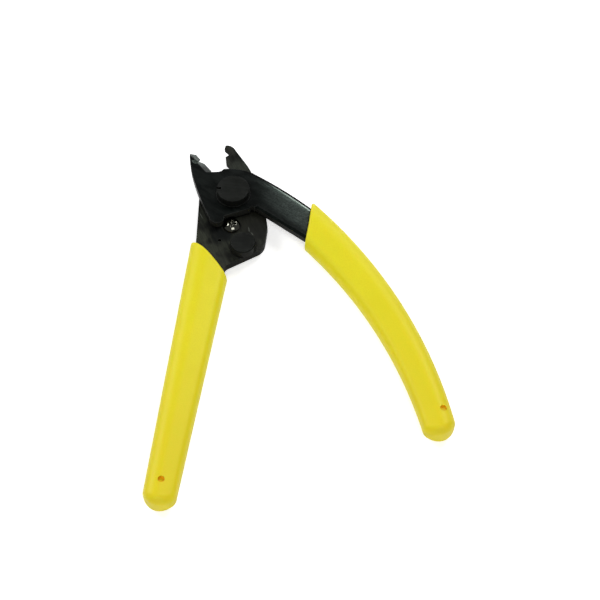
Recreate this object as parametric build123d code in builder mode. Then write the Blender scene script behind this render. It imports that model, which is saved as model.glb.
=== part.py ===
# Fibre stripper: two stamped levers on a sprung pivot, with bypass jaws and moulded vinyl grips.
# The tool lies on its back, fully open. Lengths are in millimetres, angles in degrees.
# The origin is on the pivot's axis, on the back face of the pivot screw's head. +Y runs along the
# straight grip's centreline towards the jaws, +X towards the curved grip, +Z out of the front.

import os
from math import cos, hypot, radians, sin, sqrt

from build123d import *

os.makedirs("parts", exist_ok=True)

# Plates, and the stack of layers along the pivot
plate_thickness = 2.8
running_gap = 0.05
back_head_height = 2.0
washer_thickness = 0.4
cap_height = 2.5

# Motion, and the jaws
open_angle = 31.0
jaw_angle = 105.0
jaw_reach = 23.4
jaw_overlap = 1.05
bevel_width = 2.85
bevel_runout_angle = 35.5
buffer_hole_diameter = 1.0
coating_hole_diameter = 0.3
notch_flare = 30.0
hole_relief_radius = 1.45
hole_relief_depth = 1.3
hole_relief_taper = 40.0

# Handle of the front lever
handle_angle = -28.5
handle_edge_side = 0.15
palm_bevel_width = 1.5
palm_bevel_run = 3.0
palm_bevel_slope = 0.35
inner_bevel_width = 0.7
inner_bevel_drop = 0.5
relief_radius = 0.7

# Pivot screw and bush
pivot_head_diameter = 11.0
pivot_head_chamfer = 0.3
spanner_hole_diameter = 1.3
spanner_hole_spacing = 6.6
spanner_hole_depth = 0.9
pivot_shank_diameter = 5.0
pivot_neck_diameter = 3.6
pivot_fit = 0.03
bush_wall = 0.5
bush_running_fit = 0.04

# Cap, its washer and the return spring inside it
cap_diameter = 11.0
cap_top_thickness = 0.7
cap_rim_wall = 1.0
cap_skin = 0.4
cap_boss_wall = 0.9
cap_edge_round = 0.2
cap_notch_width = 0.9
cap_notch_depth = 1.6
cap_notch_angle = 185.0
washer_overhang = 0.3
washer_spring_clearance = 0.35
spring_wire = 0.5
spring_mean_radius = 3.85
spring_turns = 2.25
spring_gap = 0.12
spring_tail_depth = 1.4
spring_hole_clearance = 0.06

# Stop screw with its nut: the lobe comes to rest on its head when the tool opens
stop_screw_head_diameter = 5.5
stop_screw_head_height = 1.9
stop_screw_rim_height = 0.6
stop_screw_diameter = 2.8
stop_screw_end_height = 0.4
screw_fit = 0.05
recess_width = 0.75
recess_span = 3.0
recess_depth = 1.1
nut_across_flats = 5.5
nut_height = 1.4
nut_washer_thickness = 0.3
nut_washer_diameter = 6.4
stop_gap = 0.2

# Stop post with its screw: the handle comes to rest on it when the tool closes
stop_post_diameter = 8.4
stop_post_chamfer = 0.3
post_screw_diameter = 2.5
post_screw_head_diameter = 4.6
post_screw_depth = 1.9
post_screw_slot_width = 0.6
post_screw_slot_depth = 0.5
countersink_angle = 45.0

# Grips: the same moulding on both handles, bent on the curved one
grip_thickness = 9.56
grip_top_width = 14.5
grip_end_width = 10.1
grip_lead_round = 0.7
grip_end_thickness = 9.0
grip_end_length = 5.2
grip_end_margin = 0.6
grip_end_round = 2.5
grip_fit = 0.04
pin_hole_diameter = 2.1
pin_hole_depth = 1.5
tang_end_width = 5.0
tang_end_inset = 4.0

# Length of each grip along its axis, how far its lead slants and bulges, and its pin hole
straight_grip_length = 97.1
straight_grip_lead = 14.0
straight_grip_lead_bulge = 0.7
straight_pin_hole_inset = 7.6
straight_pin_hole_side = 0.0
curved_axis_angle = -36.9
curved_axis_radius = 165.3
curved_grip_length = 97.7
curved_grip_lead = 12.6
curved_grip_lead_bulge = -0.8
curved_pin_hole_inset = 7.8
curved_pin_hole_side = 2.4

# Width of each tang where it enters its grip, towards the palm and away from it
front_tang_outer = 4.4
front_tang_inner = 5.3
rear_tang_outer = 5.6
rear_tang_inner = 5.1

# Web of the rear lever
web_corner_round = 5.0
web_foot_round = 3.0
web_hole_diameter = 1.1

cut_overrun = 1.0

# Places on the head, as shares of the jaws' reach: distances from the pivot, then points
boss_share = 0.453
buffer_hole_share = 0.836
coating_hole_share = 0.573
bevel_start_share = 0.521
stop_post_share = 0.868
stop_screw_shares = (0.059, -0.483)
straight_axis_shares = (-0.154, -0.838)
curved_axis_shares = (0.919, -0.152)

# Outline of the front lever, as shares of the jaws' reach
front_jaw_back_shares = (
    (-0.761, 0.655),
    (-0.7, 0.402),
    (-0.566, 0.073),
    (-0.416, -0.222),
    (-0.269, -0.47),
)
front_shoulder_shares = ((-0.321, 0.364), (-0.245, 0.386), (-0.214, 0.43))
handle_back_shares = ((0.213, 0.415), (0.618, 0.229))
head_corner_shares = (0.307, -0.207)
lobe_bottom_shares = (-0.18, -0.54)
lobe_flank_shares = (-0.49, -0.405)
front_entry_shares = (0.2, 0.9)
tang_corner_share = 0.6

# Outline of the rear lever, as shares of the jaws' reach
rear_tip_shares = ((-0.281, 0.962), (-0.228, 0.97), (-0.163, 0.941))
rear_jaw_back_shares = ((-0.116, 0.89), (0.092, 0.643), (0.182, 0.514))
rear_shoulder_shares = ((0.41, 0.06), (0.565, -0.427))
web_corner_shares = (0.573, -0.802)
rear_left_shares = ((-0.41, 0.235), (-0.487, -0.145))
rear_jaw_tip_share = 0.94
rear_root_shares = (0.555, 0.01)
rear_entry_shares = (0.17, 0.581)
web_hole_shares = (-0.076, -0.755)

# Where a grip's sections stand, as shares of its length
grip_station_shares = (0.0, 0.5, 1.0)

# Section across a grip, as shares of its half-width towards the palm and of its half-thickness:
# it is thickest near the palm and slopes down to a thin edge on the other side
grip_section_shares = (
    (1.0, 0.0),
    (0.93, 0.5),
    (0.64, 0.86),
    (0.17, 1.0),
    (-0.38, 0.85),
    (-0.84, 0.62),
    (-1.0, 0.0),
    (-0.84, -0.62),
    (-0.38, -0.85),
    (0.17, -1.0),
    (0.64, -0.86),
    (0.93, -0.5),
)

# Heights of the layers, from the outer face of the pivot's back head
rear_back = back_head_height
rear_front = rear_back + plate_thickness
front_back = rear_front + running_gap
front_front = front_back + plate_thickness
shoulder_top = front_front + running_gap
washer_top = front_front + washer_thickness
cap_bottom = washer_top + running_gap
cap_top = cap_bottom + cap_height
cavity_top = cap_top - cap_top_thickness
spring_bottom = front_front + spring_gap + spring_wire / 2
spring_top = cavity_top - spring_gap - spring_wire / 2

# Places, directions and radii that several pieces share
boss_radius = jaw_reach * boss_share
buffer_hole_reach = jaw_reach * buffer_hole_share
coating_hole_reach = jaw_reach * coating_hole_share
bevel_start_reach = jaw_reach * bevel_start_share
stop_post_reach = jaw_reach * stop_post_share
stop_screw_centre = tuple(jaw_reach * share for share in stop_screw_shares)
straight_axis_start = tuple(jaw_reach * share for share in straight_axis_shares)
curved_axis_start = tuple(jaw_reach * share for share in curved_axis_shares)
front_jaw_angle = jaw_angle + open_angle
spring_tail_angle = cap_notch_angle - 360 * spring_turns
cavity_radius = cap_diameter / 2 - cap_rim_wall
groove_radius = cap_diameter / 2 - cap_skin
bush_bore_radius = pivot_shank_diameter / 2 + bush_running_fit
bush_radius = bush_bore_radius + bush_wall
front_tang_end = curved_grip_length - tang_end_inset
rear_tang_end = straight_grip_length - tang_end_inset
tang_half_end = tang_end_width / 2
tang_corner = tang_half_end * tang_corner_share


def share_points(size, pairs):
    """Points of an outline, from shares of one size."""
    return [(size * x, size * y) for x, y in pairs]


def along(angle, reach, side):
    """Point at reach from the pivot along a direction, side to the left of it."""
    turn = radians(angle)
    return (reach * cos(turn) - side * sin(turn), reach * sin(turn) + side * cos(turn))


def straight_point(distance, side):
    """Point beside the straight grip's axis, side towards the palm."""
    return (straight_axis_start[0] - side, straight_axis_start[1] - distance)


def straight_station(distance):
    """Plane across the straight grip, its X towards the palm and its Y out of the front."""
    return Plane(
        origin=(*straight_point(distance, 0), rear_front), x_dir=(-1, 0, 0), z_dir=(0, 1, 0)
    )


def curved_turn(distance):
    """Direction from the curved axis's centre to a point on it, in radians."""
    return radians(curved_axis_angle + 90) - distance / curved_axis_radius


def curved_point(distance, side):
    """Point beside the curved grip's axis, side towards the palm."""
    centre_x = curved_axis_start[0] - curved_axis_radius * cos(curved_turn(0))
    centre_y = curved_axis_start[1] - curved_axis_radius * sin(curved_turn(0))
    radius = curved_axis_radius + side
    turn = curved_turn(distance)
    return (centre_x + radius * cos(turn), centre_y + radius * sin(turn))


def curved_station(distance):
    """Plane across the curved grip, its X towards the palm and its Y out of the front."""
    turn = curved_turn(distance)
    return Plane(
        origin=(*curved_point(distance, 0), rear_front),
        x_dir=(cos(turn), sin(turn), 0),
        z_dir=(sin(turn), -cos(turn), 0),
    )


def edge_plane(start, end):
    """Plane across an edge of a lever at start, its X out of the plate and its Y out of the front.

    The plate lies to the right of the way from start to end.
    """
    length = hypot(end[0] - start[0], end[1] - start[1])
    way = ((end[0] - start[0]) / length, (end[1] - start[1]) / length)
    return Plane(origin=(*start, 0), x_dir=(-way[1], way[0], 0), z_dir=(*way, 0))


def jaw_plane(angle, reach):
    """Plane across a jaw, its X to the jaw's left and its Y out of the front."""
    turn = radians(angle)
    return Plane(
        origin=(*along(angle, reach, 0), 0),
        x_dir=(-sin(turn), cos(turn), 0),
        z_dir=(cos(turn), sin(turn), 0),
    )


def notch_points(angle, reach, hole_diameter, edge):
    """Outer mouth, round seat and inner mouth of a V notch centred on the jaws' closed line.

    edge is how far the cutting edge lies to the left of that line.
    """
    seat = hole_diameter / 2
    flare = radians(notch_flare)
    flank, depth = seat * cos(flare), seat * sin(flare)
    away = -edge / abs(edge)
    mouth = flank + (depth + abs(edge)) * sin(flare) / cos(flare)
    return [
        along(angle, reach + mouth, edge),
        along(angle, reach + flank, away * depth),
        along(angle, reach, away * seat),
        along(angle, reach - flank, away * depth),
        along(angle, reach - mouth, edge),
    ]


def tang_end_points(point, end):
    """Corners of a tang's tip, from the palm's side to the other."""
    return [
        point(end - tang_corner, tang_half_end),
        point(end, tang_half_end - tang_corner),
        point(end, tang_corner - tang_half_end),
        point(end - tang_corner, -tang_half_end),
    ]


# Outline of the front lever
buffer_notch = notch_points(front_jaw_angle, buffer_hole_reach, buffer_hole_diameter, -jaw_overlap)
coating_notch = notch_points(front_jaw_angle, coating_hole_reach, coating_hole_diameter, -jaw_overlap)
front_tip = along(front_jaw_angle, jaw_reach, -jaw_overlap)
front_jaw_back = share_points(jaw_reach, front_jaw_back_shares)
front_shoulder = share_points(jaw_reach, front_shoulder_shares)
handle_back = share_points(jaw_reach, handle_back_shares)
head_corner = share_points(jaw_reach, [head_corner_shares])[0]
lobe_bottom = share_points(jaw_reach, [lobe_bottom_shares])[0]
lobe_flank_x = stop_screw_centre[0] - stop_screw_head_diameter / 2 - stop_gap
lobe_foot, lobe_top = [(lobe_flank_x, jaw_reach * share) for share in lobe_flank_shares]
handle_start = along(handle_angle, hypot(*head_corner) + relief_radius, handle_edge_side)
front_outer_entry = curved_point(curved_grip_lead * front_entry_shares[0], front_tang_outer)
front_inner_entry = curved_point(curved_grip_lead * front_entry_shares[1], -front_tang_inner)
front_tang_tip = tang_end_points(curved_point, front_tang_end)
palm_bevel_end = curved_point(
    curved_grip_lead * front_entry_shares[0], front_tang_outer - palm_bevel_width
)
inner_bevel_start = along(
    handle_angle, hypot(*front_inner_entry), inner_bevel_width + handle_edge_side
)
inner_bevel_end = along(handle_angle, hypot(*handle_start), inner_bevel_width + handle_edge_side)

with BuildSketch() as front_outline:
    with BuildLine():
        Polyline(front_tip, buffer_notch[0], buffer_notch[1])
        ThreePointArc(buffer_notch[1], buffer_notch[2], buffer_notch[3])
        Polyline(buffer_notch[3], buffer_notch[4], coating_notch[0], coating_notch[1])
        ThreePointArc(coating_notch[1], coating_notch[2], coating_notch[3])
        Polyline(coating_notch[3], coating_notch[4], *front_shoulder)
        ThreePointArc(front_shoulder[-1], (0, boss_radius), handle_back[0])
        ThreePointArc(handle_back[0], handle_back[1], front_outer_entry)
        ThreePointArc(
            front_outer_entry,
            curved_point(front_tang_end / 2, (front_tang_outer + tang_half_end) / 2),
            front_tang_tip[0],
        )
        Polyline(*front_tang_tip)
        ThreePointArc(
            front_tang_tip[3],
            curved_point(front_tang_end / 2, -(front_tang_inner + tang_half_end) / 2),
            front_inner_entry,
        )
        Polyline(front_inner_entry, handle_start, head_corner, lobe_top, lobe_foot)
        ThreePointArc(lobe_foot, lobe_bottom, front_jaw_back[-1])
        Spline(*reversed(front_jaw_back))
        Line(front_jaw_back[0], front_tip)
    make_face()
    with Locations(head_corner):
        Circle(relief_radius, mode=Mode.SUBTRACT)

# Ground bevel on the front face of the left jaw, which runs out at a slant beside the head
with BuildPart() as front_bevel:
    with BuildSketch(jaw_plane(front_jaw_angle, boss_radius)):
        with BuildLine():
            Polyline(
                (-jaw_overlap, front_back),
                (bevel_width - jaw_overlap, front_front),
                (bevel_width - jaw_overlap, front_front + cut_overrun),
                (-jaw_overlap - cut_overrun, front_front + cut_overrun),
                (-jaw_overlap - cut_overrun, front_back),
                close=True,
            )
        make_face()
    extrude(amount=jaw_reach)
    runout = radians(front_jaw_angle - bevel_runout_angle)
    split(
        bisect_by=Plane(
            origin=(*along(front_jaw_angle, bevel_start_reach, bevel_width / 2 - jaw_overlap), 0),
            z_dir=(cos(runout), sin(runout), 0),
        )
    )

# Bevels along both edges of the handle's front face: the one towards the palm widens to the grip
with BuildPart() as palm_bevel:
    with BuildSketch(edge_plane(handle_back[0], palm_bevel_end)):
        with BuildLine():
            Polyline(
                (0, front_front),
                (palm_bevel_run, front_front - palm_bevel_run * palm_bevel_slope),
                (palm_bevel_run, front_front + cut_overrun),
                (0, front_front + cut_overrun),
                close=True,
            )
        make_face()
    extrude(amount=hypot(*palm_bevel_end))

with BuildPart() as inner_bevel:
    with BuildSketch(edge_plane(inner_bevel_start, inner_bevel_end)):
        with BuildLine():
            Polyline(
                (0, front_front),
                (2 * inner_bevel_width, front_front - 2 * inner_bevel_drop),
                (2 * inner_bevel_width, front_front + cut_overrun),
                (0, front_front + cut_overrun),
                close=True,
            )
        make_face()
    extrude(amount=hypot(*front_inner_entry) - hypot(*handle_start))

# Front lever: left jaw, head, lobe, handle and the tang in the curved grip
with BuildPart() as front_lever:
    with BuildSketch(Plane.XY.offset(front_back)):
        add(front_outline.sketch)
    extrude(amount=plate_thickness)
    for bevel in (front_bevel, palm_bevel, inner_bevel):
        add(bevel.part, mode=Mode.SUBTRACT)
    with BuildSketch(Plane.XY.offset(front_front)):
        with Locations(along(front_jaw_angle, buffer_hole_reach, hole_relief_radius)):
            Circle(hole_relief_radius)
    extrude(amount=-hole_relief_depth, taper=hole_relief_taper, mode=Mode.SUBTRACT)
    with BuildSketch(Plane.XY.offset(front_back)):
        Circle(bush_radius)
    extrude(amount=plate_thickness, mode=Mode.SUBTRACT)
    with BuildSketch(Plane.XY.offset(front_front)):
        with Locations(along(spring_tail_angle, spring_mean_radius, 0)):
            Circle(spring_wire / 2 + spring_hole_clearance)
    extrude(amount=-spring_tail_depth - spring_hole_clearance, mode=Mode.SUBTRACT)

# Outline of the rear lever
buffer_notch = notch_points(jaw_angle, buffer_hole_reach, buffer_hole_diameter, jaw_overlap)
coating_notch = notch_points(jaw_angle, coating_hole_reach, coating_hole_diameter, jaw_overlap)
rear_cut_start = along(jaw_angle, jaw_reach * rear_jaw_tip_share, jaw_overlap)
rear_root = along(jaw_angle, jaw_reach * rear_root_shares[0], jaw_reach * rear_root_shares[1])
rear_tip = share_points(jaw_reach, rear_tip_shares)
rear_jaw_back = share_points(jaw_reach, rear_jaw_back_shares)
rear_shoulder = share_points(jaw_reach, rear_shoulder_shares)
web_corner = share_points(jaw_reach, [web_corner_shares])[0]
rear_left = share_points(jaw_reach, rear_left_shares)
rear_outer_entry = straight_point(straight_grip_lead * rear_entry_shares[0], rear_tang_outer)
rear_inner_entry = straight_point(straight_grip_lead * rear_entry_shares[1], -rear_tang_inner)
rear_tang_tip = tang_end_points(straight_point, rear_tang_end)

with BuildSketch() as rear_outline:
    with BuildLine():
        Line(rear_root, coating_notch[3])
        ThreePointArc(coating_notch[3], coating_notch[2], coating_notch[1])
        Polyline(coating_notch[1], coating_notch[0], buffer_notch[4], buffer_notch[3])
        ThreePointArc(buffer_notch[3], buffer_notch[2], buffer_notch[1])
        Polyline(buffer_notch[1], buffer_notch[0], rear_cut_start, rear_tip[0])
        Spline(*rear_tip, rear_jaw_back[0])
        Line(rear_jaw_back[0], rear_jaw_back[1])
        Spline(rear_jaw_back[1], rear_jaw_back[2], rear_shoulder[0], rear_shoulder[1])
        Polyline(rear_shoulder[1], web_corner, rear_inner_entry, rear_tang_tip[3])
        Polyline(*reversed(rear_tang_tip))
        Polyline(rear_tang_tip[0], rear_outer_entry, rear_left[1])
        ThreePointArc(rear_left[1], rear_left[0], (0, boss_radius))
        Line((0, boss_radius), rear_root)
    make_face()
    fillet(rear_outline.vertices().sort_by_distance(web_corner)[0], web_corner_round)
    fillet(rear_outline.vertices().sort_by_distance(rear_inner_entry)[0], web_foot_round)

# Where the stop post stands: the handle's inner edge meets it when the tool is closed
stop_post_side = stop_post_diameter / 2 + stop_gap - handle_edge_side
stop_post_centre = along(
    handle_angle - open_angle, sqrt(stop_post_reach**2 - stop_post_side**2), -stop_post_side
)
web_hole_centre = share_points(jaw_reach, [web_hole_shares])[0]
post_screw_head_height = (post_screw_head_diameter - post_screw_diameter) / 2

# Ground bevel on the back face of the right jaw
with BuildPart() as rear_bevel:
    with BuildSketch(jaw_plane(jaw_angle, bevel_start_reach)):
        with BuildLine():
            Polyline(
                (jaw_overlap, rear_front),
                (jaw_overlap - bevel_width, rear_back),
                (jaw_overlap - bevel_width, rear_back - cut_overrun),
                (jaw_overlap + cut_overrun, rear_back - cut_overrun),
                (jaw_overlap + cut_overrun, rear_front),
                close=True,
            )
        make_face()
    extrude(amount=jaw_reach)

# Rear lever: right jaw, boss, web with both stops, and the tang in the straight grip
with BuildPart() as rear_lever:
    with BuildSketch(Plane.XY.offset(rear_back)):
        add(rear_outline.sketch)
    extrude(amount=plate_thickness)
    add(rear_bevel.part, mode=Mode.SUBTRACT)
    with BuildSketch(Plane.XY.offset(rear_back)):
        with Locations(along(jaw_angle, buffer_hole_reach, -hole_relief_radius)):
            Circle(hole_relief_radius)
    extrude(amount=hole_relief_depth, taper=hole_relief_taper, mode=Mode.SUBTRACT)
    with BuildSketch(Plane.XY.offset(rear_back)):
        Circle(pivot_shank_diameter / 2 + pivot_fit)
        with Locations(stop_screw_centre):
            Circle(stop_screw_diameter / 2 + screw_fit)
        with Locations(web_hole_centre):
            Circle(web_hole_diameter / 2)
        with Locations(stop_post_centre):
            Circle(post_screw_diameter / 2 + screw_fit)
    extrude(amount=plate_thickness, mode=Mode.SUBTRACT)
    with BuildSketch(Plane.XY.offset(rear_back)):
        with Locations(stop_post_centre):
            Circle(post_screw_head_diameter / 2 + screw_fit)
    extrude(amount=post_screw_head_height, taper=countersink_angle, mode=Mode.SUBTRACT)

# Pivot screw: back head with two spanner holes, shank, and the neck that the cap sits on
with BuildPart() as pivot_screw:
    with BuildSketch(Plane.XZ):
        with BuildLine():
            Polyline(
                (0, 0),
                (pivot_head_diameter / 2, 0),
                (pivot_head_diameter / 2, rear_back),
                (pivot_shank_diameter / 2, rear_back),
                (pivot_shank_diameter / 2, shoulder_top),
                (pivot_neck_diameter / 2, shoulder_top),
                (pivot_neck_diameter / 2, cavity_top - pivot_fit),
                (0, cavity_top - pivot_fit),
                close=True,
            )
        make_face()
    revolve(axis=Axis.Z)
    chamfer(pivot_screw.edges().group_by(Axis.Z)[0], pivot_head_chamfer)
    with BuildSketch(Plane.XY):
        with GridLocations(spanner_hole_spacing, 0, 2, 1):
            Circle(spanner_hole_diameter / 2)
    extrude(amount=spanner_hole_depth, mode=Mode.SUBTRACT)

# Bush: pressed into the front lever, turns on the pivot's shank
with BuildPart() as pivot_bush:
    with BuildSketch(Plane.XY.offset(front_back)):
        Circle(bush_radius)
        Circle(bush_bore_radius, mode=Mode.SUBTRACT)
    extrude(amount=plate_thickness)

# Thrust washer between the front lever and the cap, open in the middle for the spring
with BuildPart() as thrust_washer:
    with BuildSketch(Plane.XY.offset(front_front)):
        Circle(cap_diameter / 2 + washer_overhang)
        Circle(spring_mean_radius + spring_wire / 2 + washer_spring_clearance, mode=Mode.SUBTRACT)
    extrude(amount=washer_thickness)

# Cap: a turned cup over the spring, with a groove for the spring's leg and a notch to anchor it
cap_boss_radius = pivot_neck_diameter / 2 + pivot_fit + cap_boss_wall
groove_bottom = spring_top - spring_wire / 2 - spring_gap

with BuildPart() as spring_cap:
    with BuildSketch(Plane.XZ):
        with BuildLine():
            Polyline(
                (pivot_neck_diameter / 2 + pivot_fit, shoulder_top),
                (cap_boss_radius, shoulder_top),
                (cap_boss_radius, cavity_top),
                (groove_radius, cavity_top),
                (groove_radius, groove_bottom),
                (cavity_radius, groove_bottom),
                (cavity_radius, cap_bottom),
                (cap_diameter / 2, cap_bottom),
                (cap_diameter / 2, cap_top),
                (0, cap_top),
                (0, cavity_top),
                (pivot_neck_diameter / 2 + pivot_fit, cavity_top),
                close=True,
            )
        make_face()
    revolve(axis=Axis.Z)
    fillet(spring_cap.edges().group_by(Axis.Z)[-1], cap_edge_round)
    with BuildSketch(Plane(origin=(0, 0, groove_bottom), x_dir=(*along(cap_notch_angle, 1, 0), 0))):
        with Locations((cap_diameter / 2, 0)):
            Rectangle(2 * cap_notch_depth, cap_notch_width)
    extrude(until=Until.LAST, mode=Mode.SUBTRACT)

# Return spring: its tail sits in the front lever's hole and its leg in the cap's notch
spring_plane = Plane(origin=(0, 0, spring_bottom), x_dir=(*along(spring_tail_angle, 1, 0), 0))
spring_leg_reach = groove_radius - spring_gap
spring_rise = spring_top - spring_bottom

with BuildPart() as return_spring:
    with BuildLine(spring_plane):
        coil = Helix(spring_rise / spring_turns, spring_rise, spring_mean_radius)
    with BuildSketch(Plane(origin=coil @ 0, z_dir=coil % 0)):
        Circle(spring_wire / 2)
    sweep(path=coil)
    with BuildSketch(spring_plane):
        with Locations((spring_mean_radius, 0)):
            Circle(spring_wire / 2)
    extrude(amount=front_front - spring_tail_depth - spring_bottom)
    with BuildSketch(Plane(origin=coil @ 1, z_dir=(*along(cap_notch_angle, 1, 0), 0))):
        Circle(spring_wire / 2)
    extrude(amount=spring_leg_reach - spring_mean_radius)
    with Locations(coil @ 0, coil @ 1):
        Sphere(spring_wire / 2)

# Stop screw: domed head with a cross recess, shank down through the web and its nut
with BuildPart() as stop_screw:
    with BuildSketch(
        Plane(origin=(*stop_screw_centre, rear_front), x_dir=(1, 0, 0), z_dir=(0, -1, 0))
    ):
        with BuildLine():
            TangentArc(
                (0, stop_screw_head_height),
                (stop_screw_head_diameter / 2, stop_screw_rim_height),
                tangent=(1, 0),
            )
            Polyline(
                (stop_screw_head_diameter / 2, stop_screw_rim_height),
                (stop_screw_head_diameter / 2, 0),
                (0, 0),
                (0, stop_screw_head_height),
            )
        make_face()
    revolve(axis=Axis((*stop_screw_centre, 0), (0, 0, 1)))
    with BuildSketch(Plane.XY.offset(stop_screw_end_height)):
        with Locations(stop_screw_centre):
            Circle(stop_screw_diameter / 2)
    extrude(amount=rear_front - stop_screw_end_height)
    with BuildSketch(Plane.XY.offset(rear_front + stop_screw_head_height)):
        with Locations(stop_screw_centre):
            Rectangle(recess_span, recess_width)
            Rectangle(recess_width, recess_span)
    extrude(amount=-recess_depth, mode=Mode.SUBTRACT)

with BuildPart() as stop_screw_washer:
    with BuildSketch(Plane.XY.offset(rear_back - nut_washer_thickness)):
        with Locations(stop_screw_centre):
            Circle(nut_washer_diameter / 2)
            Circle(stop_screw_diameter / 2 + screw_fit, mode=Mode.SUBTRACT)
    extrude(amount=nut_washer_thickness)

with BuildPart() as stop_screw_nut:
    with BuildSketch(Plane.XY.offset(rear_back - nut_washer_thickness - nut_height)):
        with Locations(stop_screw_centre):
            RegularPolygon(nut_across_flats / 2, 6, major_radius=False)
            Circle(stop_screw_diameter / 2 + screw_fit, mode=Mode.SUBTRACT)
    extrude(amount=nut_height)

# Stop post and the countersunk screw that holds it from the back
with BuildPart() as stop_post:
    with BuildSketch(Plane.XY.offset(rear_front)):
        with Locations(stop_post_centre):
            Circle(stop_post_diameter / 2)
    extrude(amount=front_front - rear_front)
    chamfer(stop_post.edges().group_by(Axis.Z)[-1], stop_post_chamfer)
    with BuildSketch(Plane.XY.offset(rear_front)):
        with Locations(stop_post_centre):
            Circle(post_screw_diameter / 2 + screw_fit)
    extrude(amount=post_screw_depth + screw_fit, mode=Mode.SUBTRACT)

with BuildPart() as stop_post_screw:
    with BuildSketch(Plane.XY.offset(rear_back)):
        with Locations(stop_post_centre):
            Circle(post_screw_head_diameter / 2)
    extrude(amount=post_screw_head_height, taper=countersink_angle)
    with BuildSketch(Plane.XY.offset(rear_back)):
        with Locations(stop_post_centre):
            Circle(post_screw_diameter / 2)
    extrude(amount=plate_thickness + post_screw_depth)
    with BuildSketch(Plane.XY.offset(rear_back)):
        with Locations(stop_post_centre):
            Rectangle(post_screw_head_diameter, post_screw_slot_width)
    extrude(amount=post_screw_slot_depth, mode=Mode.SUBTRACT)


def make_grip(point, station, length, lead, bulge, pin_hole, outline, plate_back):
    """One grip: a lofted moulding with a slanted lead and a round end, over one lever's tang."""
    half_top = grip_top_width / 2
    half_end = grip_end_width / 2
    lead_bounds = (half_top + cut_overrun, -half_top - cut_overrun)
    lead_points = (
        point(0, lead_bounds[0]),
        point(lead / 2 - bulge, 0),
        point(lead + cut_overrun, lead_bounds[1]),
        point(-lead, lead_bounds[1]),
        point(-lead, lead_bounds[0]),
    )
    end_bounds = (half_end + grip_end_margin, -half_end - grip_end_margin)
    end_points = (
        point(length - grip_end_length, end_bounds[0]),
        point(length, 0),
        point(length - grip_end_length, end_bounds[1]),
        point(length + 2 * cut_overrun, end_bounds[1]),
        point(length + 2 * cut_overrun, end_bounds[0]),
    )
    with BuildPart() as grip:
        for place in grip_station_shares:
            half_width = half_top + (half_end - half_top) * place
            half_height = (grip_thickness + (grip_end_thickness - grip_thickness) * place) / 2
            with BuildSketch(station((length + cut_overrun) * place)):
                with BuildLine():
                    Spline(
                        *[(u * half_width, v * half_height) for u, v in grip_section_shares],
                        periodic=True,
                    )
                make_face()
        loft()
        for arc_and_back in (lead_points, end_points):
            with BuildSketch(Plane.XY.offset(-cut_overrun)):
                with BuildLine():
                    ThreePointArc(*arc_and_back[:3])
                    Polyline(*arc_and_back[2:], arc_and_back[0])
                make_face()
            extrude(amount=grip_thickness + 2 * cut_overrun, mode=Mode.SUBTRACT)
        for place, radius in ((0, grip_lead_round), (length, grip_end_round)):
            cut_faces = grip.faces().filter_by(GeomType.CYLINDER)
            fillet(cut_faces.sort_by_distance((*point(place, 0), rear_front))[0].edges(), radius)
        with BuildSketch(Plane.XY.offset(plate_back - grip_fit)):
            add(outline)
            offset(amount=grip_fit)
        extrude(amount=plate_thickness + 2 * grip_fit, mode=Mode.SUBTRACT)
        with BuildSketch(Plane.XY.offset(grip_thickness - pin_hole_depth)):
            with Locations(point(*pin_hole)):
                Circle(pin_hole_diameter / 2)
        extrude(amount=pin_hole_depth, mode=Mode.SUBTRACT)
    return grip


straight_grip = make_grip(
    straight_point,
    straight_station,
    straight_grip_length,
    straight_grip_lead,
    straight_grip_lead_bulge,
    (straight_grip_length - straight_pin_hole_inset, straight_pin_hole_side),
    rear_outline.sketch,
    rear_back,
)
curved_grip = make_grip(
    curved_point,
    curved_station,
    curved_grip_length,
    curved_grip_lead,
    curved_grip_lead_bulge,
    (curved_grip_length - curved_pin_hole_inset, curved_pin_hole_side),
    front_outline.sketch,
    front_back,
)

for name, piece in {
    "front_lever": front_lever,
    "rear_lever": rear_lever,
    "curved_grip": curved_grip,
    "straight_grip": straight_grip,
    "pivot_screw": pivot_screw,
    "pivot_bush": pivot_bush,
    "thrust_washer": thrust_washer,
    "spring_cap": spring_cap,
    "return_spring": return_spring,
    "stop_screw": stop_screw,
    "stop_screw_washer": stop_screw_washer,
    "stop_screw_nut": stop_screw_nut,
    "stop_post": stop_post,
    "stop_post_screw": stop_post_screw,
}.items():
    piece.part.label = name
    export_step(piece.part, f"parts/{name}.step")
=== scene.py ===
"""Looks of the fibre stripper: finishes, soft studio light and the photograph's view. Metres."""

import math

import bpy
from mathutils import Matrix, Vector


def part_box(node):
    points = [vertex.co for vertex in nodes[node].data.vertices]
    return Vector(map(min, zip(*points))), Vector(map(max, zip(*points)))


MM = 0.001

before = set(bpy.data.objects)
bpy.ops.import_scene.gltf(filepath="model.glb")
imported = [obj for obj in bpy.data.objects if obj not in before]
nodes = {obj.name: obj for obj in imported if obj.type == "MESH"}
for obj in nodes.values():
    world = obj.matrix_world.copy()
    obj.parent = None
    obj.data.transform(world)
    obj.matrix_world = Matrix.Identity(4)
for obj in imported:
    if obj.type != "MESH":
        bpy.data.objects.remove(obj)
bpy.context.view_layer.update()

# Heights of the faces that the jaws' reliefs are sunk in
FRONT_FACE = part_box("front_lever")[1].z
REAR_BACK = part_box("rear_lever")[0].z

# ---- Camera: the photograph's view, worked out from the outlines of the levers and grips
AZIMUTH = math.radians(8.07)
ELEVATION = math.radians(57.0)
DISTANCE = 0.50339
LENS = 89.1
SENSOR = 36.0
# The pivot's place in the photograph: pixels right of and above the middle, per focal length
AIM_SHARE = (-66.7 / 1485, 106.1 / 1485)
PIVOT_HEIGHT = 7.64 * MM

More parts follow.
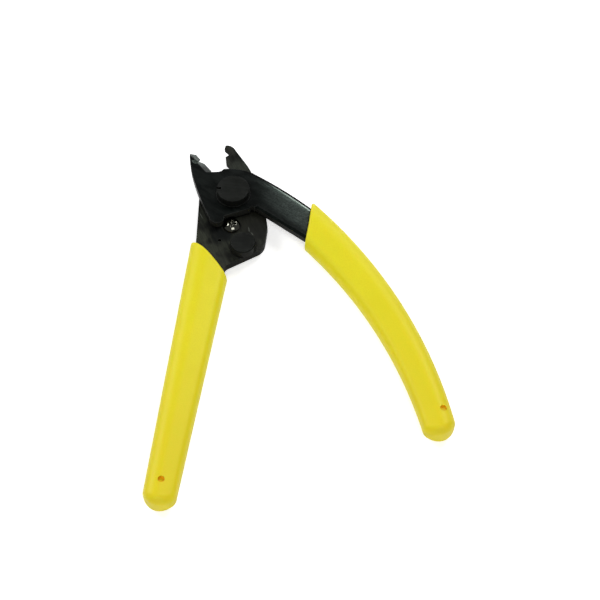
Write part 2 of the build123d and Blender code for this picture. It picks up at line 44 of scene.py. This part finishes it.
right = Vector((math.cos(AZIMUTH), math.sin(AZIMUTH), 0))
forward = Vector(
    (
        -math.sin(AZIMUTH) * math.cos(ELEVATION),
        math.cos(AZIMUTH) * math.cos(ELEVATION),
        -math.sin(ELEVATION),
    )
)
up = right.cross(forward)
pivot = Vector((0, 0, PIVOT_HEIGHT))

camera_data = bpy.data.cameras.new("camera")
camera_data.lens = LENS
camera_data.sensor_width = SENSOR
camera_data.clip_start = 0.01
camera_data.clip_end = 10
camera = bpy.data.objects.new("camera", camera_data)
camera.matrix_world = Matrix.Translation(
    pivot - DISTANCE * (forward + AIM_SHARE[0] * right + AIM_SHARE[1] * up)
) @ Matrix((right, up, -forward)).transposed().to_4x4()
bpy.context.scene.collection.objects.link(camera)
bpy.context.scene.camera = camera


class Nodes:
    """Small helper that adds shader nodes and links them."""

    def __init__(self, name):
        self.material = bpy.data.materials.new(name)
        self.material.use_nodes = True
        self.tree = self.material.node_tree
        self.shader = self.tree.nodes["Principled BSDF"]
        self.place = self.tree.nodes.new("ShaderNodeTexCoord")

    def plug(self, socket, value):
        """Links an output, or sets a plain value."""
        if isinstance(value, bpy.types.NodeSocket):
            self.tree.links.new(value, socket)
        elif value is not None:
            socket.default_value = value

    def math(self, operation, *values, clamp=False):
        """One step of arithmetic."""
        node = self.tree.nodes.new("ShaderNodeMath")
        node.operation = operation
        node.use_clamp = clamp
        for socket, value in zip(node.inputs, values):
            self.plug(socket, value)
        return node.outputs[0]

    def product(self, *values):
        """Product of two or more values."""
        result = values[0]
        for value in values[1:]:
            result = self.math("MULTIPLY", result, value)
        return result

    def dot(self, vector, direction):
        """Length of a vector along a direction, in the row frame."""
        node = self.tree.nodes.new("ShaderNodeVectorMath")
        node.operation = "DOT_PRODUCT"
        self.plug(node.inputs[0], vector)
        node.inputs[1].default_value = direction
        return node.outputs["Value"]

    def ramp(self, value, start, end, low=0.0, high=1.0):
        """Smooth step of a value, from low at start to high at end."""
        node = self.tree.nodes.new("ShaderNodeMapRange")
        node.interpolation_type = "SMOOTHSTEP"
        for socket, number in zip(node.inputs, (value, start, end, low, high)):
            self.plug(socket, number)
        return node.outputs["Result"]

    def noise(
        self, scale, detail=3.0, stretch=(1, 1, 1), turn=0.0, roughness=0.5, offset=(0, 0, 0)
    ):
        """Noise in the row frame, scale in cells per metre, stretched along turned axes."""
        mapping = self.tree.nodes.new("ShaderNodeMapping")
        mapping.vector_type = "TEXTURE"
        mapping.inputs["Location"].default_value = offset
        mapping.inputs["Rotation"].default_value = (0, 0, turn)
        mapping.inputs["Scale"].default_value = stretch
        self.tree.links.new(self.place.outputs["Object"], mapping.inputs["Vector"])
        node = self.tree.nodes.new("ShaderNodeTexNoise")
        node.inputs["Scale"].default_value = scale
        node.inputs["Detail"].default_value = detail
        node.inputs["Roughness"].default_value = roughness
        self.tree.links.new(mapping.outputs[0], node.inputs["Vector"])
        return node.outputs["Fac"]

    def distance(self, centre):
        """Distance from an upright axis, measured on the piece as it lies at rest."""
        flat = self.tree.nodes.new("ShaderNodeVectorMath")
        flat.operation = "MULTIPLY"
        flat.inputs[1].default_value = (1, 1, 0)
        self.tree.links.new(self.place.outputs["Object"], flat.inputs[0])
        node = self.tree.nodes.new("ShaderNodeVectorMath")
        node.operation = "DISTANCE"
        self.tree.links.new(flat.outputs[0], node.inputs[0])
        node.inputs[1].default_value = (centre[0], centre[1], 0)
        return node.outputs["Value"]

    def height(self):
        """Height over the floor, on the piece as it lies at rest."""
        return self.dot(self.place.outputs["Object"], (0, 0, 1))

    def facing(self, direction, start=0.985, end=0.995):
        """1 on the faces whose normal is the direction, on the piece as it lies at rest."""
        return self.ramp(self.dot(self.place.outputs["Normal"], direction), start, end)

    def soft_edges(self, radius):
        """Normal with the sharp edges rounded off."""
        node = self.tree.nodes.new("ShaderNodeBevel")
        node.samples = 6
        node.inputs["Radius"].default_value = radius
        return node.outputs[0]

    def edges(self, radius):
        """1 along the sharp edges, where the softened normal turns away from the face."""
        node = self.tree.nodes.new("ShaderNodeVectorMath")
        node.operation = "DOT_PRODUCT"
        face = self.tree.nodes.new("ShaderNodeNewGeometry").outputs["Normal"]
        self.plug(node.inputs[0], self.soft_edges(radius))
        self.plug(node.inputs[1], face)
        return self.ramp(node.outputs["Value"], 0.99, 0.9)

    def crease(self, reach):
        """1 in narrow gaps and hole bottoms, 0 in the open."""
        node = self.tree.nodes.new("ShaderNodeAmbientOcclusion")
        node.samples = 8
        node.inputs["Distance"].default_value = reach
        return self.ramp(node.outputs["AO"], 0.9, 0.5)

    def mix(self, share, first, second):
        """Mix of two colours."""
        node = self.tree.nodes.new("ShaderNodeMix")
        node.data_type = "RGBA"
        self.plug(node.inputs["Factor"], share)
        for socket, value in ((node.inputs[6], first), (node.inputs[7], second)):
            self.plug(socket, (*value, 1) if isinstance(value, tuple) else value)
        return node.outputs[2]

    def bump(self, height, distance, strength=1.0, normal=None):
        """Normal with fine relief."""
        node = self.tree.nodes.new("ShaderNodeBump")
        node.inputs["Strength"].default_value = strength
        node.inputs["Distance"].default_value = distance
        self.plug(node.inputs["Height"], height)
        self.plug(node.inputs["Normal"], normal)
        return node.outputs[0]


def shader_socket(n, name, value):
    """Sets or links a socket of the material's shader."""
    if isinstance(value, tuple) and "Color" in name:
        value = (*value, 1)
    n.plug(n.shader.inputs[name], value)


def dress(material, *names):
    """Gives CAD nodes their finish."""
    for name in names:
        piece = nodes[name]
        piece.data.materials.clear()
        piece.data.materials.append(material)


# ---- Grips: satin lemon vinyl
# Painted light: warm orange glow laid into the grips' creases and hole bottoms
PAINTED_CREASE_GLOW = (0.95, 0.55, 0.01)
GRAIN_RELIEF = 0.01 * MM


def grip_vinyl():
    """Vinyl with fine grain, slow blotches and a painted warm glow in creases and hole bottoms."""
    n = Nodes("grip_vinyl")
    blotch = n.noise(60, detail=2)
    fine = n.noise(2600, detail=2)
    colour = n.mix(n.ramp(blotch, 0.35, 0.65), (0.85, 0.76, 0.017), (0.89, 0.795, 0.021))
    # The vinyl is a little warmer towards the ends
    far = n.ramp(n.distance((0, 0)), 35 * MM, 115 * MM, 0, 0.8)
    colour = n.mix(far, colour, (0.86, 0.70, 0.02))
    colour = n.mix(n.ramp(fine, 0.35, 0.65, 0, 0.5), colour, (0.81, 0.71, 0.014))
    # Painted light: creases and hole bottoms are painted bright orange, standing in for light
    # bounced inside them
    colour = n.mix(n.crease(1.2 * MM), colour, PAINTED_CREASE_GLOW)
    shader_socket(n, "Base Color", colour)
    shader_socket(n, "Roughness", n.ramp(fine, 0.3, 0.7, 0.4, 0.48))
    shader_socket(n, "Specular IOR Level", 0.2)
    shader_socket(n, "Subsurface Weight", 0.25)
    shader_socket(n, "Subsurface Radius", (1.0, 0.6, 0.1))
    shader_socket(n, "Subsurface Scale", 1.6 * MM)
    shader_socket(n, "Normal", n.bump(fine, GRAIN_RELIEF, 0.35))
    return n.material


# ---- Oxide-black steel of the levers
GROUND = (0.28, 0.34, 0.30)
# Light grey for the edges: edge wear and a painted highlight along them
WORN_EDGE_HIGHLIGHT = (0.07, 0.075, 0.07)
# Painted shade: near black laid into creases and along the palm edge's outer strip
PAINTED_SHADE = (0.001, 0.001, 0.001)
# Painted reflection on the handle's face towards the grip
HANDLE_REFLECTION = (0.064, 0.080, 0.073)
PALM_SHEEN = (0.13, 0.17, 0.15)
SCRATCH = (0.09, 0.10, 0.085)
STEEL_RELIEF = 0.008 * MM

# Directions seen from the pivot, in degrees
HANDLE_ANGLE = -28.5
FRONT_JAW_ANGLE = 136
REAR_JAW_ANGLE = 105
FRONT_BRUSHING = math.radians(-28)
REAR_BRUSHING = math.radians(-58)

# Circle that the handle's outer edge follows
HANDLE_CENTRE = (-38.16 * MM, -96.72 * MM)
HANDLE_RADIUS = 114.84 * MM
# Normal of the bevel along that edge
PALM_BEVEL = (0.173, 0.281, 0.944)
# Black spot at the front jaw's tip
TIP_SOOT = (-16.85 * MM, 13.5 * MM)
# Conical relief behind each buffer notch: reach from the pivot, offset to the side, radius
CONE_REACH = 19.56 * MM
CONE_OFFSET = 1.45 * MM
CONE_RADIUS = 1.5 * MM
# Scratches on the rear lever: both ends, in mm
REAR_SCRATCHES = (
    ((-10.5, -7.3), (-9.0, -9.6)),
    ((6.9, -10.9), (7.5, -12.9)),
    ((8.0, -13.0), (9.0, -14.0)),
)
# Light stains, darker patches and painted shadows on the rear lever: centre and reach in mm,
# colour
REAR_STAINS_AND_SHADOWS = (
    ((-9.1, -17.6), 2.4, (0.042, 0.047, 0.033)),
    ((-5.0, -22.4), 2.6, (0.040, 0.045, 0.033)),
    ((-0.6, -27.0), 2.6, (0.033, 0.036, 0.029)),
    ((12.5, -19.6), 2.2, (0.03, 0.031, 0.026)),
    ((7.7, -8.7), 4.2, (0.0125, 0.0128, 0.0085)),
    ((-0.4, 13.9), 2.4, (0.034, 0.039, 0.03)),
    ((-4.4, 20.9), 1.6, (0.022, 0.022, 0.017)),
    ((10.3, -12.2), 3.2, (0.009, 0.0095, 0.0075)),
    # Painted shadow of the lobe and the screw head on the web, the next four
    ((-5.0, -11.6), 1.9, (0.0, 0.0006, 0.0006)),
    ((-3.4, -13.8), 2.0, (0.0, 0.0008, 0.0008)),
    ((0.2, -15.4), 1.8, (0.0010, 0.0024, 0.0020)),
    ((-2.4, -17.0), 1.5, (0.0008, 0.0022, 0.0018)),
    ((7.9, -23.6), 1.8, (0.030, 0.032, 0.028)),
    ((2.6, -23.2), 1.2, (0.005, 0.005, 0.004)),
)


def toward(angle, reach, side=0.0):
    """Point at reach from the pivot along a direction, side to the left of it."""
    turn = math.radians(angle)
    return (
        reach * math.cos(turn) - side * math.sin(turn),
        reach * math.sin(turn) + side * math.cos(turn),
    )


def bevel_direction(angle, rise):
    """Normal of a jaw's ground bevel: it faces the other jaw, and up or down with rise."""
    across = toward(angle, 0, -0.701 * rise)
    return (*across, 0.713 * rise)


def oxide(name, dark, light, wall, roughness, gloss, turn, crease_shade=1.0, ground=None, marks=None):
    """Blackened steel with streaks, dull sheared walls whose tone is partly painted light, worn
    edges with a painted highlight, and painted shade in the creases.

    wall is a colour or a function that gives one, turn the direction of brushing. ground gives
    the share of bare steel, and marks adds stains, scratches and painted light and shade on the
    faces.
    """
    n = Nodes(name)
    wall = wall(n) if callable(wall) else wall
    brushed = n.noise(5200, detail=2, stretch=(14, 1, 1), turn=turn)
    smoke = n.noise(170, detail=3, roughness=0.6)
    streak = n.noise(1100, detail=4, stretch=(7, 1, 1), turn=turn, roughness=0.6)
    grain = n.noise(2300, detail=3, roughness=0.6)
    tone = n.math("MULTIPLY_ADD", streak, 0.45, n.math("MULTIPLY", smoke, 0.4))
    tone = n.math("MULTIPLY_ADD", grain, 0.15, tone)
    black = n.mix(n.ramp(tone, 0.42, 0.6), dark, light)
    if marks:
        black = marks(n, black, grain)
    upright = n.math("ABSOLUTE", n.dot(n.place.outputs["Normal"], (0, 0, 1)))
    # The walls' tone is partly painted light, set per piece to stand in for how they are lit
    sheared = n.product(n.ramp(upright, 0.5, 0.3), n.ramp(grain, 0.2, 0.7, 0.6, 1))
    black = n.mix(sheared, black, wall)
    flat = n.ramp(upright, 0.96, 0.99)
    # Edges of the flat faces are painted lighter: edge wear plus a painted highlight along the
    # rims
    lightened = n.product(n.edges(0.24 * MM), flat, n.ramp(smoke, 0.35, 0.6, 0.35, 0.9))
    black = n.mix(lightened, black, WORN_EDGE_HIGHLIGHT)
    # Painted shade: creases and narrow gaps are darkened towards near black, where shade falls
    black = n.mix(n.product(n.crease(0.9 * MM), crease_shade), black, PAINTED_SHADE)
    lines = n.noise(2800, detail=3, stretch=(9, 1, 1), turn=turn, offset=(0.03, 0.01, 0))
    black = n.mix(n.ramp(lines, 0.56, 0.42, 0, 0.3), black, dark)
    rough = n.ramp(tone, 0.38, 0.62, roughness - 0.06, roughness + 0.08)
    if ground:
        bare = ground(n)
        scratched = n.mix(n.ramp(brushed, 0.3, 0.7), GROUND, tuple(0.72 * c for c in GROUND))
        black = n.mix(bare, black, scratched)
        rough = n.math("MULTIPLY_ADD", bare, -0.04, rough)
        shader_socket(n, "Metallic", bare)
    shader_socket(n, "Base Color", black)
    shader_socket(n, "Roughness", rough)
    shader_socket(n, "Specular IOR Level", n.ramp(upright, 0.95, 0.98, 0.2 * gloss, gloss))
    relief = n.math("MULTIPLY_ADD", brushed, 0.6, n.math("MULTIPLY", grain, 0.7))
    shader_socket(n, "Normal", n.bump(relief, STEEL_RELIEF, 0.35, n.soft_edges(0.12 * MM)))
    return n.material


def handle_place(n):
    """Distances along and across the handle, and inward from its outer edge."""
    place = n.place.outputs["Object"]
    along = n.dot(place, (*toward(HANDLE_ANGLE, 1), 0))
    across = n.dot(place, (*toward(HANDLE_ANGLE, 0, 1), 0))
    inset = n.math("SUBTRACT", HANDLE_RADIUS, n.distance(HANDLE_CENTRE))
    return along, across, inset


def front_marks(n, black, grain):
    """The handle is painted lighter towards the grip, a painted reflection, with a painted sheen
    towards the palm.
    """
    along, across, inset = handle_place(n)
    slanted = n.math("MULTIPLY_ADD", across, 1.1, along)
    # Painted reflection: the handle's face is painted grey, lighter towards the grip
    lightened = n.product(
        n.ramp(slanted, 8.5 * MM, 30 * MM),
        n.ramp(grain, 0.25, 0.7, 0.35, 1),
        n.ramp(across, 0.8 * MM, 5 * MM, 0.1, 1),
    )
    black = n.mix(lightened, black, HANDLE_REFLECTION)
    sheen = n.product(
        n.ramp(inset, 3.4 * MM, 1.2 * MM),
        n.ramp(along, 2 * MM, 16 * MM),
        n.ramp(grain, 0.3, 0.7, 0.25, 0.7),
    )
    black = n.mix(sheen, black, PALM_SHEEN)
    # The outermost strip is painted black, a painted dark reflection of a rounded edge
    return n.mix(n.ramp(inset, 1.0 * MM, 0.75 * MM), black, PAINTED_SHADE)


def scratch(n, start, end, width):
    """1 along a short scratch between two points, in metres."""
    length = math.hypot(end[0] - start[0], end[1] - start[1])
    way = ((end[0] - start[0]) / length, (end[1] - start[1]) / length)
    middle = ((start[0] + end[0]) / 2, (start[1] + end[1]) / 2)
    place = n.place.outputs["Object"]
    sides = []
    for axis, size in ((way, length / 2), ((-way[1], way[0]), width / 2)):
        centre = axis[0] * middle[0] + axis[1] * middle[1]
        offset = n.math("SUBTRACT", n.dot(place, (*axis, 0)), centre)
        sides.append(n.ramp(n.math("ABSOLUTE", offset), 1.3 * size, 0.3 * size))
    return n.product(*sides)


def rear_marks(n, black, grain):
    """Soft stains, painted shadow of the lobe and the screw head, and three light scratches."""
    ragged = n.noise(420, detail=4, stretch=(2, 1, 1), turn=REAR_BRUSHING)
    for centre, reach, colour in REAR_STAINS_AND_SHADOWS:
        spread = n.distance(tuple(MM * c for c in centre))
        spread = n.math("MULTIPLY_ADD", ragged, 5 * MM, spread)
        patch_share = n.ramp(spread, (reach + 4.0) * MM, (reach + 1.8) * MM, 0, 0.9)
        # The light stains are grainy, the black painted shadows are not
        if sum(colour) > 0.01:
            patch_share = n.product(patch_share, n.ramp(grain, 0.2, 0.7, 0.6, 1))
        black = n.mix(patch_share, black, colour)
    for start, end in REAR_SCRATCHES:
        start, end = [tuple(MM * c for c in point) for point in (start, end)]
        mark = n.product(scratch(n, start, end, 0.35 * MM), n.ramp(grain, 0.2, 0.6, 0.4, 1))
        black = n.mix(mark, black, SCRATCH)
    return black


def cone(n, angle, out, face):
    """1 on the conical relief behind the buffer notch; out is 1 where its face looks up, or -1."""
    centre = toward(angle, CONE_REACH, CONE_OFFSET * out)
    inside = n.ramp(n.distance(centre), CONE_RADIUS, 0.96 * CONE_RADIUS)
    depth = n.product(n.math("SUBTRACT", face, n.height()), out)
    below_face = n.ramp(depth, 0.01 * MM, 0.04 * MM)
    return n.product(inside, below_face, n.ramp(depth, 1.5 * MM, 1.4 * MM))


def front_ground(n):
    """Bare steel of the front lever: dull on the jaw, and along the palm's edge a share painted to
    follow the highlight on the bevel.
    """
    patches = n.noise(900, detail=3, stretch=(3, 1, 1), turn=math.radians(HANDLE_ANGLE))
    clean = n.ramp(n.distance(TIP_SOOT), 0.9 * MM, 1.15 * MM)
    jaw = n.product(
        n.facing(bevel_direction(FRONT_JAW_ANGLE, 1)),
        clean,
        n.ramp(n.distance((0, 0)), 15 * MM, 19.5 * MM, 0.06, 0.27),
        n.ramp(patches, 0.35, 0.6, 0.7, 1.3),
    )
    relief = n.product(cone(n, FRONT_JAW_ANGLE, 1, FRONT_FACE), clean, 0.4)
    along, _, inset = handle_place(n)
    # Partly painted highlight: bare steel on the palm bevel, strengthened towards the grip to
    # follow the highlight there
    bare_bevel_highlight = n.product(
        n.facing(PALM_BEVEL, 0.9985, 0.9995),
        n.ramp(inset, 0.7 * MM, 1.0 * MM),
        n.ramp(inset, 1.7 * MM, 1.15 * MM, 0.3, 1),
        n.ramp(along, 3 * MM, 20 * MM, 0.12, 0.9),
        n.ramp(patches, 0.25, 0.55, 0.5, 1),
    )
    return n.math("MAXIMUM", n.math("MAXIMUM", jaw, relief), bare_bevel_highlight)


def rear_ground(n):
    """Bare steel of the rear lever, on its jaw."""
    jaw = n.facing(bevel_direction(REAR_JAW_ANGLE, -1))
    relief = cone(n, REAR_JAW_ANGLE, -1, REAR_BACK)
    return n.math("MAXIMUM", jaw, relief)


front = oxide(
    "front_steel",
    dark=(0.0020, 0.0030, 0.0026),
    light=(0.0058, 0.0078, 0.0068),
    # Walls painted lighter than the faces: painted light standing in for the front light on them
    wall=(0.023, 0.0232, 0.0205),
    roughness=0.34,
    gloss=0.14,
    turn=FRONT_BRUSHING,
    ground=front_ground,
    marks=front_marks,
)
rear = oxide(
    "rear_steel",
    dark=(0.0045, 0.005, 0.0038),
    light=(0.0245, 0.0275, 0.0195),
    # Walls painted near black: painted shade along the web's edges
    wall=(0.006, 0.006, 0.005),
    roughness=0.45,
    gloss=0.15,
    turn=REAR_BRUSHING,
    ground=rear_ground,
    marks=rear_marks,
)


def round_walls_painted_light(n):
    """The post's wall is painted lighter than the cap's, painted light on a wall that lies in
    shade.
    """
    post = n.ramp(n.distance((0, 0)), 10 * MM, 12 * MM)
    return n.mix(post, (0.006, 0.0062, 0.006), (0.017, 0.0175, 0.0155))


dark = oxide(
    "dark_steel",
    dark=(0.0058, 0.0068, 0.0056),
    light=(0.0100, 0.0116, 0.0098),
    wall=round_walls_painted_light,
    roughness=0.42,
    gloss=0.15,
    turn=0.0,
    # Less painted shade in the creases of the small round parts
    crease_shade=0.4,
)


METAL_RELIEF = 0.003 * MM


def plain_metal(name, colour, roughness, grain):
    """Bare or plated metal with a fine uneven tone, grain in cells per metre."""
    n = Nodes(name)
    spots = n.noise(grain, detail=3)
    shader_socket(n, "Base Color", n.mix(spots, colour, tuple(0.9 * c for c in colour)))
    shader_socket(n, "Metallic", 1.0)
    shader_socket(n, "Roughness", n.ramp(spots, 0.3, 0.7, roughness * 0.8, roughness * 1.2))
    shader_socket(n, "Normal", n.bump(spots, METAL_RELIEF, 0.3, n.soft_edges(0.1 * MM)))
    return n.material


nickel = plain_metal("nickel", (0.19, 0.19, 0.16), 0.05, 900)
bronze = plain_metal("bronze", (0.55, 0.38, 0.19), 0.35, 2500)
spring_steel = plain_metal("spring_steel", (0.34, 0.35, 0.36), 0.3, 1500)

dress(grip_vinyl(), "curved_grip", "straight_grip")
dress(front, "front_lever")
dress(rear, "rear_lever")
dress(dark, "pivot_screw", "spring_cap", "thrust_washer", "stop_post", "stop_post_screw")
dress(nickel, "stop_screw", "stop_screw_nut", "stop_screw_washer")
dress(bronze, "pivot_bush")
dress(spring_steel, "return_spring")


# ---- Floor, light and world
LAMP_AIM = (0.03, -0.05, 0)
FLOOR_HALF = 3.0
FLOOR_DROP = 0.05 * MM
FLOOR_GLOW = 0.55
WORLD_STRENGTH = 0.15


def soft_lamp(name, place, size, power):
    """Adds a rectangular lamp that faces the tool: place and size in metres, power in watts."""
    data = bpy.data.lights.new(name, "AREA")
    data.shape = "RECTANGLE"
    data.size, data.size_y = size
    data.energy = power
    lamp = bpy.data.objects.new(name, data)
    lamp.location = place
    lamp.rotation_mode = "QUATERNION"
    lamp.rotation_quaternion = (Vector(place) - Vector(LAMP_AIM)).to_track_quat("Z", "Y")
    bpy.context.scene.collection.objects.link(lamp)


soft_lamp("key", (0.5, 0.66, 0.93), (0.42, 0.42), 4.9)
soft_lamp("rim", (0.1, 1.1, 0.44), (0.9, 0.16), 2.5)
soft_lamp("side", (-1.0, 0.4, 0.8), (0.6, 0.6), 8)
soft_lamp("front", (0.3, -0.7, 1.15), (0.7, 0.5), 4.8)
soft_lamp("low", (0.25, -1.3, 0.3), (1.2, 0.4), 3.5)

corners = [(x * FLOOR_HALF, y * FLOOR_HALF, 0) for x, y in ((-1, -1), (1, -1), (1, 1), (-1, 1))]
mesh = bpy.data.meshes.new("floor")
mesh.from_pydata(corners, [], [range(4)])
floor = bpy.data.objects.new("floor", mesh)
floor.location.z = -FLOOR_DROP
bpy.context.scene.collection.objects.link(floor)

# Pale paper: it glows to white where it is looked at or mirrored, and keeps the shadow
paper = Nodes("floor")
shader_socket(paper, "Base Color", (0.93, 0.93, 0.93))
shader_socket(paper, "Roughness", 0.8)
shader_socket(paper, "Specular IOR Level", 0.0)
rays = paper.tree.nodes.new("ShaderNodeLightPath").outputs
seen = paper.math(
    "ADD",
    paper.math("ADD", rays["Is Camera Ray"], rays["Is Glossy Ray"]),
    rays["Is Transmission Ray"],
    clamp=True,
)
shader_socket(paper, "Emission Color", (1.0, 1.0, 1.0))
shader_socket(paper, "Emission Strength", paper.product(seen, FLOOR_GLOW))
floor.data.materials.append(paper.material)

world = bpy.data.worlds.new("world")
bpy.context.scene.world = world
world.use_nodes = True
background = world.node_tree.nodes["Background"]
background.inputs["Color"].default_value = (1, 1, 1, 1)
background.inputs["Strength"].default_value = WORLD_STRENGTH

bpy.context.scene.view_settings.view_transform = "Standard"
